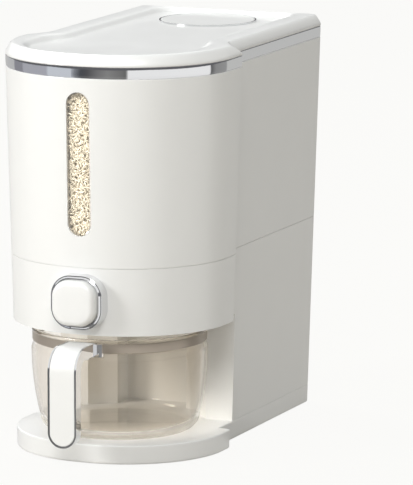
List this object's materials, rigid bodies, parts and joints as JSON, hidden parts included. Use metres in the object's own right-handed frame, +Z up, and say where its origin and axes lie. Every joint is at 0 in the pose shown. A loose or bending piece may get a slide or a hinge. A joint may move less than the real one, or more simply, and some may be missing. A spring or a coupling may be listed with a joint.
{
  "type": "rice dispenser",
  "caption": "Countertop rice bin with a round nose, hinged lid, window and push button over a removable glass jug that stands in a niche.",
  "frame": {"origin": "on the ground, centred on the width and on the whole depth from the handle's front to the hinge barrel at the back", "axes": "+Z up, front with the button, window and jug handle faces -Y, +X to the viewer's right"},
  "size_m": [0.2006, 0.3746, 0.3494],
  "materials": {
    "white_shell": "smooth satin white",
    "inner_plastic": "matt",
    "underside_grey": "matt",
    "rubber": "matt",
    "seal_rubber": "matt silicone",
    "chrome": "bright",
    "band_steel": "satin",
    "screw_steel": "plain",
    "clear_lens": "clear",
    "jug_glass": "clear",
    "sachet": "matt"
  },
  "bodies": {
    "housing": {"base_tray": "white_shell", "base_cover": "underside_grey", "rubber_feet": "rubber", "base_screws": "screw_steel", "lower_housing": "white_shell", "column_screws": "screw_steel", "upper_housing": "white_shell", "chrome_band": "chrome", "hopper": "inner_plastic", "hopper_funnel": "inner_plastic", "window_lens": "clear_lens", "window_seal": "seal_rubber", "outlet_seal": "seal_rubber", "outlet_chute": "inner_plastic", "flap_pin": "screw_steel", "button_bezel": "chrome", "button_guide": "inner_plastic", "return_spring": "screw_steel", "hinge_bracket": "white_shell", "hinge_screws": "screw_steel", "hinge_pin": "screw_steel"},
    "lid": {"lid": "white_shell", "lid_inner_panel": "inner_plastic", "lid_seal": "seal_rubber", "desiccant_cup": "inner_plastic", "desiccant_sachet": "sachet", "desiccant_ring": "chrome"},
    "desiccant_cover": {"desiccant_cover": "white_shell"},
    "button": {"button_cap": "white_shell", "button_plunger": "inner_plastic"},
    "flap": {"outlet_flap": "inner_plastic"},
    "jug": {"jug_glass": "jug_glass", "jug_band": "band_steel", "handle_bracket": "chrome", "handle_frame": "chrome", "handle_inlay": "white_shell", "handle_screw": "screw_steel"}
  },
  "joints": [
    {"name": "lid_hinge", "type": "hinge", "parent": "housing", "child": "lid", "pos_m": [0, 0.18412, 0.3394], "axis": [-1, 0, 0], "range_deg": [0, 105]},
    {"name": "desiccant_cover_twist", "type": "hinge", "parent": "lid", "child": "desiccant_cover", "pos_m": [0, 0.12732, 0.3448], "axis": [0, 0, 1], "range_deg": [0, 45]},
    {"name": "button_press", "type": "slide", "parent": "housing", "child": "button", "axis": [0, 1, 0], "range_m": [0, 0.007], "stiffness_N_per_m": 400, "springref_m": -0.004, "deforming": ["return_spring"]},
    {"name": "flap_swing", "type": "hinge", "parent": "housing", "child": "flap", "pos_m": [0, -0.09762, 0.1245], "axis": [-1, 0, 0], "range_deg": [0, 17.9]},
    {"name": "jug_slide", "type": "slide", "parent": "housing", "child": "jug", "axis": [0, -1, 0], "range_m": [0, 0.22]}
  ],
  "couplings": [
    {"joint": "flap_swing", "follows": "button_press", "rad_per_m": 44.444}
  ]
}
